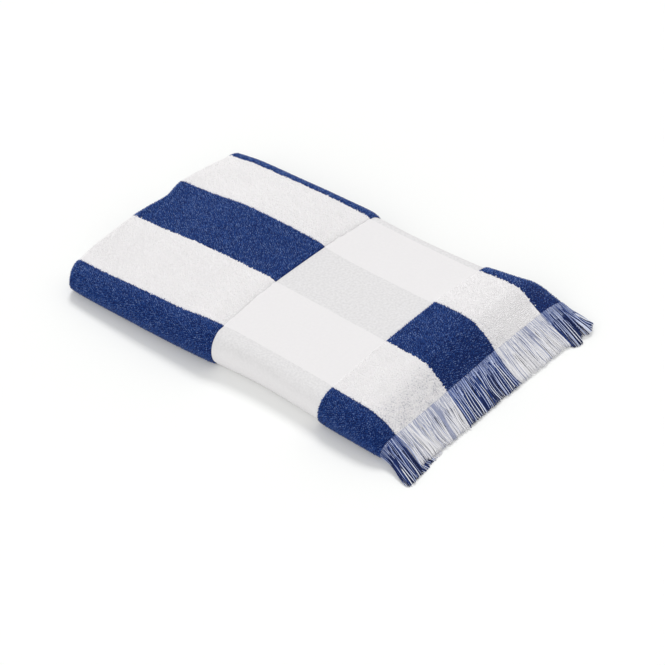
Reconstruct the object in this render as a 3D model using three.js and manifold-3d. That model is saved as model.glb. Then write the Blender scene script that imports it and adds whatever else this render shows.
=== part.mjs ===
// A striped beach towel, folded for display, with a knotless fringe at its woven end.
//
// The cloth is one sheet. It is folded end to end twice, which gives four plies, and that pack is
// folded in three across its width: a middle layer, a far fold, the top layer, a near fold that wraps
// the whole stack, and the bottom layer. The outermost ply reaches past the others, bends down to the
// floor and ends in the fringe.
//
// Millimetres. +X runs along the folded towel towards the fringe, +Y to its far side, +Z up.

import * as THREE from 'three';
import { mergeVertices } from 'three/addons/utils/BufferGeometryUtils.js';
import Module from 'manifold-3d';

// ---- Driving dimensions -------------------------------------------------------------------------

const CLOTH = 3; // terry cloth, its loops lightly pressed
const PLY_PITCH = 4.2; // from one ply to the next inside a layer
const LAYER_GAP = 1; // air between two layers
const PLIES = 4; // plies in a layer, after two folds end to end
const LAYERS = 3; // layers in the stack, after the fold in three

const FOLDED_WIDTH = 325; // near fold to far fold
const PACK_LENGTH = 450; // folded end to the folds and the edge inside the fringed end
const CLOTH_REACH = 493; // folded end to the fringed edge of the outermost ply

const STRAND_WIDTH = 2; // a strand's flat outer side, where it is widest
const STRAND_HEIGHT = 1.9; // from that side to the strand's ridge
const STRIP_LENGTH = 6; // the woven strip that holds the roots
const STRIP_THICKNESS = 1.5;
const ROOT_SIZE = 0.5; // a root's size as a share of the strand's, so that it starts inside the strip
const TIP_SIZE = 0.75;
const LIFT_OFF = 0.3; // share of a short strand's length over which it reaches its full size
const PARTING = 0.3; // between the cloth's edge and the strip

// The stack's shape along the towel: the two long edges from the centre line, and the height of the
// upper face on four lines that run the length of the towel.
const SHAPE = [
  { at: 0, nearEdge: -160, farEdge: 163, nearFold: 31.5, nearCrown: 44, farCrown: 45.5, farFold: 38 },
  { at: 50, nearEdge: -163, farEdge: 163, nearFold: 34.5, nearCrown: 46.5, farCrown: 49.5, farFold: 45 },
  { at: 120, nearEdge: -163, farEdge: 162, nearFold: 40.5, nearCrown: 53.5, farCrown: 58, farFold: 47.8 },
  { at: 175, nearEdge: -162, farEdge: 162, nearFold: 43.8, nearCrown: 55.5, farCrown: 58.5, farFold: 49.4 },
  { at: 228, nearEdge: -159, farEdge: 165, nearFold: 48.8, nearCrown: 57, farCrown: 55.8, farFold: 47.8 },
  { at: 240, nearEdge: -156, farEdge: 163, nearFold: 47.5, nearCrown: 55.5, farCrown: 53.5, farFold: 46 },
  { at: 310, nearEdge: -150, farEdge: 161, nearFold: 45.5, nearCrown: 53.5, farCrown: 50.5, farFold: 44.5 },
  { at: 396, nearEdge: -155, farEdge: 165, nearFold: 43, nearCrown: 51.2, farCrown: 50.7, farFold: 45 },
  { at: 406, nearEdge: -157, farEdge: 167, nearFold: 42.6, nearCrown: 51.5, farCrown: 53.3, farFold: 46.5 },
  { at: 440, nearEdge: -158.5, farEdge: 173.5, nearFold: 41.8, nearCrown: 51.3, farCrown: 54.6, farFold: 48.5 },
  { at: 457, nearEdge: -158.5, farEdge: 179.5, nearFold: 39.8, nearCrown: 49.5, farCrown: 52.7, farFold: 48 },
  { at: 468, nearEdge: -158, farEdge: 184.5, nearFold: 36.8, nearCrown: 44.7, farCrown: 47.6, farFold: 43 },
  { at: 480, nearEdge: -157, farEdge: 189, nearFold: 31.2, nearCrown: 34.6, farCrown: 38.8, farFold: 32.5 },
  { at: 493, nearEdge: -154.5, farEdge: 191, nearFold: 22, nearCrown: 23, farCrown: 25, farFold: 23.5 },
  { at: 505, nearEdge: -154, farEdge: 192, nearFold: 15, nearCrown: 16, farCrown: 17, farFold: 17 },
];
const HEIGHT_LINES = { nearFold: -131, nearCrown: -36, farCrown: 56.5, farFold: 143.3 };
const NEAR_EASE = -110; // past these two lines the stack follows its long edges
const FAR_EASE = 138;

// The tables below go by the place across the cloth: the length from the bottom layer's edge, round
// the folds, to the middle layer's edge.

// How far the fringed edge runs past CLOTH_REACH.
const FRINGED_EDGE = [
  { across: 0, past: -16 },
  { across: 284, past: -2 },
  { across: 361, past: 0 },
  { across: 646, past: 2 },
  { across: 696, past: 9 },
  { across: 981, past: -10 },
];

// How far the folded end lies short of its even place.
const FOLDED_END = [
  { across: 0, short: 3 },
  { across: 300, short: 7 },
  { across: 325, short: 10 },
  { across: 350, short: 4.5 },
  { across: 366, short: 0 },
  { across: 400, short: -2.5 },
  { across: 430, short: -1 },
  { across: 464, short: -0.7 },
  { across: 485, short: 0.3 },
  { across: 520, short: 4 },
  { across: 556, short: -3.5 },
  { across: 609, short: -2.5 },
  { across: 643, short: -0.2 },
  { across: 700, short: 1 },
  { across: 981, short: 3 },
];
const FOLDED_END_REACH = 60;

// Where the tips of the fringe lie: their distance from the folded end, their place on the floor from
// the centre line, and the height of a strand's middle there.
const TIPS = [
  { across: 0, reach: 516, side: 150, height: 0.95 },
  { across: 245, reach: 533, side: -100, height: 0.95 },
  { across: 284, reach: 537, side: -140, height: 0.95 },
  { across: 322, reach: 540, side: -168, height: 1.2 },
  { across: 362, reach: 535, side: -150, height: 1.4 },
  { across: 464, reach: 533, side: -46, height: 1.4 },
  { across: 555, reach: 535, side: 49, height: 1.4 },
  { across: 643, reach: 540, side: 142, height: 1.4 },
  { across: 660, reach: 552, side: 163, height: 1.4 },
  { across: 674, reach: 542, side: 190, height: 1.4 },
  { across: 696, reach: 528, side: 176, height: 3.6 },
  { across: 981, reach: 515, side: -140, height: 3.6 },
];

// The strands on each stretch of the folded edge.
const FRINGE = [
  { run: 'bottom', strands: 84, segments: 2 },
  { run: 'top', strands: 98, segments: 3 },
  { run: 'middle', strands: 84, segments: 2 },
];
const LOCK = 6; // strands that lean together
const LOCK_PULL = 0.2; // share of the way to the lock's middle that a tip leans
const SWAY = 2; // sideways bow of the strands
const SWAY_LENGTH = 60; // across the cloth, from one such bow to the next

const RUN_STEPS = 7; // steps across the width in each straight stretch
const NEAR_FOLD_STEPS = 8;
const FAR_FOLD_STEPS = 5;
const END_FOLD_STEPS = 6;
const INNER_FOLD_STEPS = 3;

// ---- Derived dimensions -------------------------------------------------------------------------

const LAYER = (PLIES - 1) * PLY_PITCH + CLOTH; // thickness of a layer of plies
const HEIGHT = LAYERS * LAYER + (LAYERS - 1) * LAYER_GAP; // even stack, before its shape is given
const NEAR_RADIUS = HEIGHT / 2;
const FAR_RADIUS = (2 * LAYER + LAYER_GAP) / 2;
const NEAR_CENTRE = -FOLDED_WIDTH / 2 + NEAR_RADIUS;
const FAR_CENTRE = FOLDED_WIDTH / 2 - FAR_RADIUS;
const STRAND_MIDDLE = STRAND_HEIGHT / 2; // height of a strand's middle when it lies on the floor
const RUN = FAR_CENTRE - NEAR_CENTRE; // width of a straight stretch

// ---- Curves through the tables ------------------------------------------------------------------

// Value of a column at a place on a smooth curve through a table's rows, which never overshoots them.
// key names the column that the place is counted in.
function along(table, key, column, place) {
  const last = table.length - 1;
  const at = THREE.MathUtils.clamp(place, table[0][key], table[last][key]);
  let i = 0;
  while (i < last - 1 && at > table[i + 1][key]) i += 1;
  const rise = (k) => (table[k + 1][column] - table[k][column]) / (table[k + 1][key] - table[k][key]);
  const slope = (k) => {
    if (k === 0) return rise(0);
    if (k === last) return rise(last - 1);
    const product = rise(k - 1) * rise(k);
    return product > 0 ? (2 * product) / (rise(k - 1) + rise(k)) : 0;
  };
  const span = table[i + 1][key] - table[i][key];
  const t = (at - table[i][key]) / span;
  const start = (1 + 2 * t) * (1 - t) ** 2 * table[i][column] + t * (1 - t) ** 2 * span * slope(i);
  const end = t * t * (3 - 2 * t) * table[i + 1][column] + t * t * (t - 1) * span * slope(i + 1);
  return start + end;
}

// Height of the stack's upper face.
function stackHeight(x, y) {
  const lines = Object.entries(HEIGHT_LINES).map(([column, at]) => (
    { at, height: along(SHAPE, 'at', column, x) }
  ));
  return along(lines, 'at', 'height', y);
}

// y moved with the long edges: by the square of its distance past the line where each side begins.
function placeAcross(x, y) {
  const half = FOLDED_WIDTH / 2;
  const nearMove = along(SHAPE, 'at', 'nearEdge', x) + half;
  const farMove = along(SHAPE, 'at', 'farEdge', x) - half;
  const nearShare = Math.max(0, (NEAR_EASE - y) / (NEAR_EASE + half)) ** 2;
  const farShare = Math.max(0, (y - FAR_EASE) / (half - FAR_EASE)) ** 2;
  return y + nearMove * nearShare + farMove * farShare;
}

// x moved with the two ends: the fringed edge past the other plies, and the folded end.
function placeAlong(x, across) {
  const past = along(FRINGED_EDGE, 'across', 'past', across);
  const short = along(FOLDED_END, 'across', 'short', across);
  const fringed = past * THREE.MathUtils.smoothstep(x, PACK_LENGTH, CLOTH_REACH);
  const folded = short * (1 - THREE.MathUtils.smoothstep(x, 0, FOLDED_END_REACH));
  return x + fringed + folded;
}

// ---- The fold across the width ------------------------------------------------------------------

// Stations on the outer face of the folded layers, from the bottom layer's edge to the middle
// layer's. ny and nz point into the layer, and across is the length walked so far.
function widthFold() {
  const stations = [];
  const middleZ = HEIGHT - 2 * FAR_RADIUS;
  for (let i = RUN_STEPS; i >= 0; i -= 1) {
    const y = THREE.MathUtils.lerp(NEAR_CENTRE, FAR_CENTRE, i / RUN_STEPS);
    stations.push({ run: 'bottom', y, z: 0, ny: 0, nz: 1 });
  }
  for (let i = 1; i < NEAR_FOLD_STEPS; i += 1) {
    const angle = (Math.PI * i) / NEAR_FOLD_STEPS;
    const [s, c] = [Math.sin(angle), Math.cos(angle)];
    const run = i < NEAR_FOLD_STEPS / 2 ? 'bottom' : 'top';
    stations.push({ run, y: NEAR_CENTRE - NEAR_RADIUS * s, z: NEAR_RADIUS * (1 - c), ny: s, nz: c });
  }
  for (let i = 0; i <= RUN_STEPS; i += 1) {
    const y = THREE.MathUtils.lerp(NEAR_CENTRE, FAR_CENTRE, i / RUN_STEPS);
    stations.push({ run: 'top', y, z: HEIGHT, ny: 0, nz: -1 });
  }
  for (let i = 1; i < FAR_FOLD_STEPS; i += 1) {
    const angle = (Math.PI * i) / FAR_FOLD_STEPS;
    const [s, c] = [Math.sin(angle), Math.cos(angle)];
    const run = i <= FAR_FOLD_STEPS / 2 ? 'top' : 'middle';
    const z = HEIGHT - FAR_RADIUS * (1 - c);
    stations.push({ run, y: FAR_CENTRE + FAR_RADIUS * s, z, ny: -s, nz: -c });
  }
  for (let i = RUN_STEPS; i >= 0; i -= 1) {
    const y = THREE.MathUtils.lerp(NEAR_CENTRE, FAR_CENTRE, i / RUN_STEPS);
    stations.push({ run: 'middle', y, z: middleZ, ny: 0, nz: 1 });
  }
  const nearTurn = (Math.PI * NEAR_RADIUS) / NEAR_FOLD_STEPS;
  const farTurn = (Math.PI * FAR_RADIUS) / FAR_FOLD_STEPS;
  let across = 0;
  return stations.map((station, k) => {
    const turning = station.ny + (k > 0 ? stations[k - 1].ny : 0);
    const straight = k > 0 ? RUN / RUN_STEPS : 0;
    if (turning === 0) across += straight;
    else across += turning > 0 ? nearTurn : farTurn;
    return { ...station, across };
  });
}

const STATIONS = widthFold();

// ---- The sheet folded end to end ----------------------------------------------------------------

// Half a turn of the sheet's middle line about a centre. side is -1 for a turn at the folded end and
// +1 at the other; from is -1 where the turn starts nearer the outer face than its centre, else +1.
// nx and nd point to the sheet's outer side, the same side all along it.
function halfTurn(centreX, centreDepth, radius, side, from, steps) {
  const points = [];
  for (let i = 0; i <= steps; i += 1) {
    const angle = (Math.PI * i) / steps;
    const [s, c] = [Math.sin(angle), Math.cos(angle)];
    const x = centreX + side * radius * s;
    const depth = centreDepth + from * radius * c;
    points.push({ x, depth, nx: from * s, nd: side * c });
  }
  return points;
}

// Outline of one layer in x and depth, a back-and-forth section: outer ply, innermost ply, and the two
// plies between them. Depth is measured into the layer from its outer face.
function layerOutline() {
  const plyDepth = (i) => CLOTH / 2 + i * PLY_PITCH;
  const foldX = LAYER / 2;
  const innerEndX = PACK_LENGTH - (PLY_PITCH + CLOTH) / 2;
  const rows = SHAPE.map((row) => row.at).filter((at) => at > foldX);
  const packRows = rows.filter((at) => at < innerEndX);
  const overhang = rows.filter((at) => at > PACK_LENGTH && at <= CLOTH_REACH);
  const straight = (xs, i, side) => xs.map((x) => ({ x, depth: plyDepth(i), nx: 0, nd: side }));
  const backwards = [...packRows].reverse();

  const middleLine = [
    ...straight([...overhang].reverse(), 0, -1),
    ...straight([innerEndX, ...backwards], 0, -1),
    ...halfTurn(foldX, LAYER / 2, (LAYER - CLOTH) / 2, -1, -1, END_FOLD_STEPS),
    ...straight(packRows, 3, 1),
    ...halfTurn(innerEndX, plyDepth(2.5), PLY_PITCH / 2, 1, 1, INNER_FOLD_STEPS),
    ...straight(backwards, 2, -1),
    ...halfTurn(foldX, LAYER / 2, PLY_PITCH / 2, -1, 1, INNER_FOLD_STEPS),
    ...straight([...packRows, innerEndX], 1, 1),
  ];
  const side = (sign) => middleLine.map((p) => ({
    x: p.x + (sign * p.nx * CLOTH) / 2,
    depth: p.depth + (sign * p.nd * CLOTH) / 2,
  }));
  return [...side(-1), ...side(1).reverse()];
}

// Closed solid from rings of points, one ring for each station, with a cap on the first and the last.
function solidFromRings(rings, capTriangles) {
  const count = rings[0].length;
  const index = [];
  for (let k = 0; k + 1 < rings.length; k += 1) {
    for (let j = 0; j < count; j += 1) {
      const [a, b] = [k * count + j, k * count + ((j + 1) % count)];
      index.push(a, b, a + count, b, b + count, a + count);
    }
  }
  const lastRing = (rings.length - 1) * count;
  for (const [a, b, c] of capTriangles) {
    index.push(a, c, b);
    index.push(lastRing + a, lastRing + b, lastRing + c);
  }
  const geometry = new THREE.BufferGeometry();
  const positions = rings.flat().flatMap((p) => [p.x, p.y, p.z]);
  geometry.setAttribute('position', new THREE.Float32BufferAttribute(positions, 3));
  geometry.setIndex(index);
  return geometry;
}

function clothGeometry() {
  const outline = layerOutline();
  const rings = STATIONS.map((station) => outline.map((p) => {
    const x = placeAlong(p.x, station.across);
    const y = station.y + station.ny * p.depth;
    const z = station.z + station.nz * p.depth;
    return new THREE.Vector3(x, placeAcross(x, y), (z * stackHeight(x, y)) / HEIGHT);
  }));
  const flat = outline.map((p) => new THREE.Vector2(p.x, p.depth));
  const caps = THREE.ShapeUtils.triangulateShape(flat, []);
  return solidFromRings(rings, caps);
}

// ---- The fringe ---------------------------------------------------------------------------------

// The line of the fringed edge at a distance past the cloth: the middle of the woven strip, no lower
// than a strand that lies on the floor, with the direction that points away from the stack.
function edgeLine(past) {
  return STATIONS.map((station) => {
    const x = placeAlong(CLOTH_REACH, station.across) + past;
    const y = station.y + (station.ny * CLOTH) / 2;
    const z = station.z + (station.nz * CLOTH) / 2;
    const rise = (stackHeight(x, y) - STRAND_HEIGHT) / (HEIGHT - CLOTH);
    const point = new THREE.Vector3(x, placeAcross(x, y), STRAND_MIDDLE + (z - CLOTH / 2) * rise);
    const outward = new THREE.Vector3(0, -station.ny, -station.nz / rise).normalize();
    return { run: station.run, across: station.across, point, outward };
  });
}

function stripGeometry() {
  const half = STRIP_THICKNESS / 2;
  const start = edgeLine(PARTING);
  const end = edgeLine(PARTING + STRIP_LENGTH);
  const rings = start.map((near, k) => [
    near.point.clone().addScaledVector(near.outward, half),
    end[k].point.clone().addScaledVector(end[k].outward, half),
    end[k].point.clone().addScaledVector(end[k].outward, -half),
    near.point.clone().addScaledVector(near.outward, -half),
  ]);
  return solidFromRings(rings, [[0, 1, 2], [0, 2, 3]]);
}

// Places spaced evenly by length on one stretch of the edge line.
function spacedPlaces(line, run, count) {
  const first = line.findIndex((place) => place.run === run);
  const last = line.findLastIndex((place) => place.run === run);
  const stretch = line.slice(first === 0 ? 0 : first - 1, last + 1);
  const lengths = [0];
  for (let k = 1; k < stretch.length; k += 1) {
    lengths.push(lengths[k - 1] + stretch[k].point.distanceTo(stretch[k - 1].point));
  }
  const total = lengths[lengths.length - 1];
  return Array.from({ length: count }, (_, i) => {
    const target = (total * (i + 0.5)) / count;
    const k = lengths.findIndex((length) => length >= target);
    const share = (target - lengths[k - 1]) / (lengths[k] - lengths[k - 1]);
    return {
      across: THREE.MathUtils.lerp(stretch[k - 1].across, stretch[k].across, share),
      point: stretch[k - 1].point.clone().lerp(stretch[k].point, share),
      outward: stretch[k - 1].outward.clone().lerp(stretch[k].outward, share).normalize(),
    };
  });
}

// A three-sided strand through its places. Each ring is a flat outer side and a ridge.
function strandGeometry(places) {
  const rings = places.map(({ point, outward, size }) => {
    const across = new THREE.Vector3(0, outward.z, -outward.y);
    const base = point.clone().addScaledVector(outward, (size * STRAND_HEIGHT) / 2);
    return [
      base.clone().addScaledVector(across, (size * STRAND_WIDTH) / 2),
      base.clone().addScaledVector(across, (-size * STRAND_WIDTH) / 2),
      point.clone().addScaledVector(outward, (-size * STRAND_HEIGHT) / 2),
    ];
  });
  return solidFromRings(rings, [[0, 1, 2]]);
}

// Places along one strand: its root, one or two places on the way, and its tip, which leans towards
// the place of the tip in the middle of its lock.
function strandPlaces(root, lockMiddle, row) {
  const at = THREE.MathUtils.lerp(root.across, lockMiddle.across, LOCK_PULL);
  const [reach, side, height] = ['reach', 'side', 'height'].map((column) => along(TIPS, 'across', column, at));
  const tip = new THREE.Vector3(reach, side, height);
  const down = new THREE.Vector3(0, 0, row.run === 'top' ? 1 : -1);
  const places = [{ point: root.point, outward: root.outward, size: ROOT_SIZE }];
  for (let j = 1; j <= row.segments; j += 1) {
    const share = j === 1 && row.segments === 2 ? LIFT_OFF : j / row.segments;
    const point = root.point.clone().lerp(tip, share);
    point.y += SWAY * Math.sin((root.across / SWAY_LENGTH) * 2 * Math.PI) * Math.sin(Math.PI * share);
    const outward = root.outward.clone().lerp(down, share).normalize();
    places.push({ point, outward, size: j === row.segments ? TIP_SIZE : 1 });
  }
  return places;
}

function strands() {
  const line = edgeLine(PARTING + STRIP_LENGTH / 2);
  return FRINGE.flatMap((row) => {
    const roots = spacedPlaces(line, row.run, row.strands);
    return roots.map((root, i) => {
      const lockMiddle = roots[Math.min(Math.floor(i / LOCK) * LOCK + LOCK / 2, roots.length - 1)];
      return strandGeometry(strandPlaces(root, lockMiddle, row));
    });
  });
}

const wasm = await Module();
wasm.setup();

function toSolid(geometry) {
  const merged = mergeVertices(geometry);
  return new wasm.Manifold(new wasm.Mesh({
    numProp: 3,
    vertProperties: new Float32Array(merged.getAttribute('position').array),
    triVerts: new Uint32Array(merged.getIndex().array),
  }));
}

function toGeometry(solid) {
  const mesh = solid.getMesh();
  const geometry = new THREE.BufferGeometry();
  geometry.setAttribute('position', new THREE.Float32BufferAttribute(mesh.vertProperties, 3));
  geometry.setIndex(new THREE.Uint32BufferAttribute(mesh.triVerts, 1));
  return geometry;
}

function fringeGeometry() {
  const joined = strands().map(toSolid).reduce((whole, strand) => whole.add(strand), toSolid(stripGeometry()));
  return toGeometry(joined);
}

// ---- The towel ----------------------------------------------------------------------------------

const cloth = new THREE.Mesh(
  clothGeometry(),
  new THREE.MeshStandardMaterial({ color: 0x243c82, roughness: 1, metalness: 0 }),
);
cloth.name = 'cloth';

const fringe = new THREE.Mesh(
  fringeGeometry(),
  new THREE.MeshStandardMaterial({ color: 0xb9c0d8, roughness: 0.95, metalness: 0 }),
);
fringe.name = 'fringe';

// The towel's origin is on the floor under the middle of its outline.
const towel = new THREE.Group();
towel.add(cloth, fringe);
const outline = new THREE.Box3().setFromObject(towel);
const middle = outline.getCenter(new THREE.Vector3());
for (const piece of [cloth, fringe]) {
  piece.position.set(-middle.x, -middle.y, -outline.min.z);
}

export default towel;
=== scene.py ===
# %% [markdown]
# # A striped beach towel, folded, with a knotless fringe
#
# The towel is one length of cotton: striped terry, a flat-woven white band, more striped terry, a
# narrow heading and a fringe of loose warp yarns. It is folded end to end twice and then in three
# across, and it lies on the floor. The solids of the fold are already made. This file gives them
# their looks: the cloth as one folded sheet, its pile as thousands of small tufts, and the fringe
# as single yarns.

# %% Load the folded towel
import math
from collections import namedtuple

import bpy
import numpy as np
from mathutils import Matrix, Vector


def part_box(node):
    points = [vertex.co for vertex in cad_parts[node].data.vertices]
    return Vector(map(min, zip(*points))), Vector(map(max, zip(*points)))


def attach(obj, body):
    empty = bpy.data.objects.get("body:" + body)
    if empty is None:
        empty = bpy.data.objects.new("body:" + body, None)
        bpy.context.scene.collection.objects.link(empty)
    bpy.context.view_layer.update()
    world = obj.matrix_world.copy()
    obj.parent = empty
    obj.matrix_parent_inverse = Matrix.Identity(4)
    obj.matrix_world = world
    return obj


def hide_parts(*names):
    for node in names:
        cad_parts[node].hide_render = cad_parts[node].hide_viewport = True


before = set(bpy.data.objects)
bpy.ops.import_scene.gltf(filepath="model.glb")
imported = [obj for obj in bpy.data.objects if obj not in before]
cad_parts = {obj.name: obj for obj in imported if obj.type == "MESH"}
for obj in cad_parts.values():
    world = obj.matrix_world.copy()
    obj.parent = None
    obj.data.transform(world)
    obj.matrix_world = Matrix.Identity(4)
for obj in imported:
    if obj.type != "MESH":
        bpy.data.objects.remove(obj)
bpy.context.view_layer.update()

# %% [markdown]
# ## Millimetres and the towel's own place
#
# Cloth is cut and folded in millimetres, so every size below is in millimetres, and one helper turns
# a point into Blender's metres. Lengths along the towel are counted from its folded end, and widths
# from a centre line, so the helper also moves the point to where the solids lie.

# %% From the towel's millimetres to the scene's metres
MM = 0.001
FAR_LEFT = np.array(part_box("cloth")[0])  # folded end, near side, floor
END_BULGE = -3.47  # the folded end bulges this far past its even place
NEAREST_EDGE = -163.0  # the widest place of the near edge, from the centre line
ORIGIN = np.array([FAR_LEFT[0] - END_BULGE * MM, FAR_LEFT[1] - NEAREST_EDGE * MM, 0.0])


def to_scene(points):
    """Points in millimetres from the folded end, the centre line and the floor, as scene metres."""
    return np.asarray(points) * MM + ORIGIN


print("folded end and centre line at", ORIGIN)

# %% [markdown]
# ## The camera
#
# A long lens from nearly two and a half metres flattens the perspective, as in a product picture. The
# camera is aimed at a point on the floor under the towel. Its direction is worked out from an
# azimuth and an elevation, which are easier to judge than three rotation angles.

# %% Camera
AZIMUTH = math.radians(39.4)
ELEVATION = math.radians(39.6)
DISTANCE = 2.42  # metres
LENS = 110.0
SENSOR = 36.0
AIM = to_scene([306.0, -14.0, 0.0])

towards_camera = np.array([
    math.sin(AZIMUTH) * math.cos(ELEVATION),
    -math.cos(AZIMUTH) * math.cos(ELEVATION),
    math.sin(ELEVATION),
])
camera_data = bpy.data.cameras.new("camera")
camera_data.lens = LENS
camera_data.sensor_width = SENSOR
camera = bpy.data.objects.new("camera", camera_data)
camera.location = AIM + DISTANCE * towards_camera
camera.rotation_euler = (math.pi / 2 - ELEVATION, 0.0, AZIMUTH)
bpy.context.scene.collection.objects.link(camera)
bpy.context.scene.camera = camera
print("camera at", [round(v, 3) for v in camera.location])

# %% [markdown]
# ## How the stack is shaped
#
# An even stack of folded cloth would be a box with round edges. A real one is higher in the middle,
# is drawn in where the flat-woven band makes it thinner, and sinks where only the outermost ply
# is left. Two short tables say so: one row for each place along the towel, and one line for each
# height that is measured across it. A smooth curve that never overshoots joins the rows.

# %% Sizes of the folded cloth
CLOTH = 3.0  # thickness, with the pile
PLY_PITCH = 4.2
LAYER_GAP = 1.0
PLIES = 4
LAYERS = 3
FOLDED_WIDTH = 325.0
PACK_LENGTH = 450.0
CLOTH_REACH = 493.0  # from the folded end to the edge of the outermost ply

LAYER = (PLIES - 1) * PLY_PITCH + CLOTH
HEIGHT = LAYERS * LAYER + (LAYERS - 1) * LAYER_GAP
NEAR_RADIUS = HEIGHT / 2
FAR_RADIUS = (2 * LAYER + LAYER_GAP) / 2
NEAR_CENTRE = -FOLDED_WIDTH / 2 + NEAR_RADIUS
FAR_CENTRE = FOLDED_WIDTH / 2 - FAR_RADIUS

# %% Shape of the stack, row by row
SHAPE_COLUMNS = ("at", "near_edge", "far_edge", "near_fold", "near_crown", "far_crown", "far_fold")
SHAPE_ROWS = [
    (0, -160, 163, 31.5, 44.0, 45.5, 38.0),
    (50, -163, 163, 34.5, 46.5, 49.5, 45.0),
    (120, -163, 162, 40.5, 53.5, 58.0, 47.8),
    (175, -162, 162, 43.8, 55.5, 58.5, 49.4),
    (228, -159, 165, 48.8, 57.0, 55.8, 47.8),
    (240, -156, 163, 47.5, 55.5, 53.5, 46.0),
    (310, -150, 161, 45.5, 53.5, 50.5, 44.5),
    (396, -155, 165, 43.0, 51.2, 50.7, 45.0),
    (406, -157, 167, 42.6, 51.5, 53.3, 46.5),
    (440, -158.5, 173.5, 41.8, 51.3, 54.6, 48.5),
    (457, -158.5, 179.5, 39.8, 49.5, 52.7, 48.0),
    (468, -158, 184.5, 36.8, 44.7, 47.6, 43.0),
    (480, -157, 189, 31.2, 34.6, 38.8, 32.5),
    (493, -154.5, 191, 22.0, 23.0, 25.0, 23.5),
    (505, -154, 192, 15.0, 16.0, 17.0, 17.0),
]
SHAPE = {name: np.array([row[i] for row in SHAPE_ROWS], float) for i, name in enumerate(SHAPE_COLUMNS)}
HEIGHT_LINES = {"near_fold": -131.0, "near_crown": -36.0, "far_crown": 56.5, "far_fold": 143.3}
NEAR_EASE = -110.0  # past these two lines the long edges move in or out
FAR_EASE = 138.0


def through_points(at, value, place):
    """Smooth curve through rows: a cubic between each two rows whose slope at a row is the harmonic
    mean of the slopes on both sides, or nil where they differ in sign, so it never overshoots.
    value may have one column for each place."""
    at = np.asarray(at, float)
    value = np.asarray(value, float)
    place = np.clip(place, at[0], at[-1])
    if value.ndim == 1:
        value = np.broadcast_to(value[:, None], (len(at), len(place)))
    span = np.diff(at)[:, None]
    rise = np.diff(value, axis=0) / span
    slope = np.zeros_like(value)
    slope[0], slope[-1] = rise[0], rise[-1]
    product = rise[:-1] * rise[1:]
    total = np.where(product > 0, rise[:-1] + rise[1:], 1.0)
    slope[1:-1] = np.where(product > 0, 2 * product / total, 0.0)
    i = np.clip(np.searchsorted(at, place) - 1, 0, len(at) - 2)
    column = np.arange(len(place))
    width = span[i, 0]
    t = (place - at[i]) / width
    start = (1 + 2 * t) * (1 - t) ** 2 * value[i, column] + t * (1 - t) ** 2 * width * slope[i, column]
    end = t * t * (3 - 2 * t) * value[i + 1, column] - t * t * (1 - t) * width * slope[i + 1, column]
    return start + end


def stack_height(x, y):
    """Height of the upper face: each line's curve along x, then a curve across the lines at y."""
    lines = np.array([through_points(SHAPE["at"], SHAPE[name], x) for name in HEIGHT_LINES])
    return through_points(list(HEIGHT_LINES.values()), lines, y)


def place_across(x, y):
    """y moved with the long edges: only the outer parts follow them, by the square of the distance."""
    near_move = through_points(SHAPE["at"], SHAPE["near_edge"], x) + FOLDED_WIDTH / 2
    far_move = through_points(SHAPE["at"], SHAPE["far_edge"], x) - FOLDED_WIDTH / 2
    near_share = np.clip((NEAR_EASE - y) / (NEAR_EASE + FOLDED_WIDTH / 2), 0, None) ** 2
    far_share = np.clip((y - FAR_EASE) / (FOLDED_WIDTH / 2 - FAR_EASE), 0, None) ** 2
    return y + near_move * near_share + far_move * far_share


print("even stack", round(HEIGHT, 1), "mm high, real one", SHAPE["far_crown"].max())

# %% [markdown]
# ## The two folds as formulas
#
# A point of the towel is named by three numbers: how far it is along the cloth from the fringed edge
# (`u`), how far it is across the cloth from one side hem (`s`), and how far it stands off the cloth's
# middle (`out`). The fold end to end turns `u` into a length and a depth in a layer. The fold in
# three turns `s` and that depth into a width and a height. With straight runs and half circles, each
# fold is a single line of sums, with no search and no table of points.

# %% The fold in three
RUN = FAR_CENTRE - NEAR_CENTRE
NEAR_ARC = math.pi * NEAR_RADIUS
FAR_ARC = math.pi * FAR_RADIUS
S_NEAR, S_TOP = RUN, RUN + NEAR_ARC
S_FAR = S_TOP + RUN
S_MIDDLE = S_FAR + FAR_ARC
S_END = S_MIDDLE + RUN


def fold_across(s):
    """Place on the outer face of the layers, and the direction into them: bottom run, half circle,
    top run, half circle, middle run."""
    near = np.clip((s - S_NEAR) / NEAR_RADIUS, 0, math.pi)
    far = np.clip((s - S_FAR) / FAR_RADIUS, 0, math.pi)
    y = (FAR_CENTRE - np.clip(s, None, RUN) - NEAR_RADIUS * np.sin(near)
         + np.clip(s - S_TOP, 0, RUN) + FAR_RADIUS * np.sin(far) - np.clip(s - S_MIDDLE, 0, None))
    z = NEAR_RADIUS * (1 - np.cos(near)) - FAR_RADIUS * (1 - np.cos(far))
    into_y = np.where(s < S_FAR, np.sin(near), -np.sin(far))
    into_z = np.where(s < S_FAR, np.cos(near), -np.cos(far))
    return y, z, into_y, into_z


# %% The fold end to end
FOLD_X = LAYER / 2
INNER_END = PACK_LENGTH - (PLY_PITCH + CLOTH) / 2
END_RADIUS = (LAYER - CLOTH) / 2
INNER_RADIUS = PLY_PITCH / 2
U_FOLD = CLOTH_REACH - FOLD_X
U_INNERMOST = U_FOLD + math.pi * END_RADIUS
INNER_RUN = INNER_END - FOLD_X
U_RIGHT = U_INNERMOST + INNER_RUN
U_THIRD = U_RIGHT + math.pi * INNER_RADIUS
U_LEFT = U_THIRD + INNER_RUN
U_SECOND = U_LEFT + math.pi * INNER_RADIUS
U_END = U_SECOND + INNER_RUN


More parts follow.
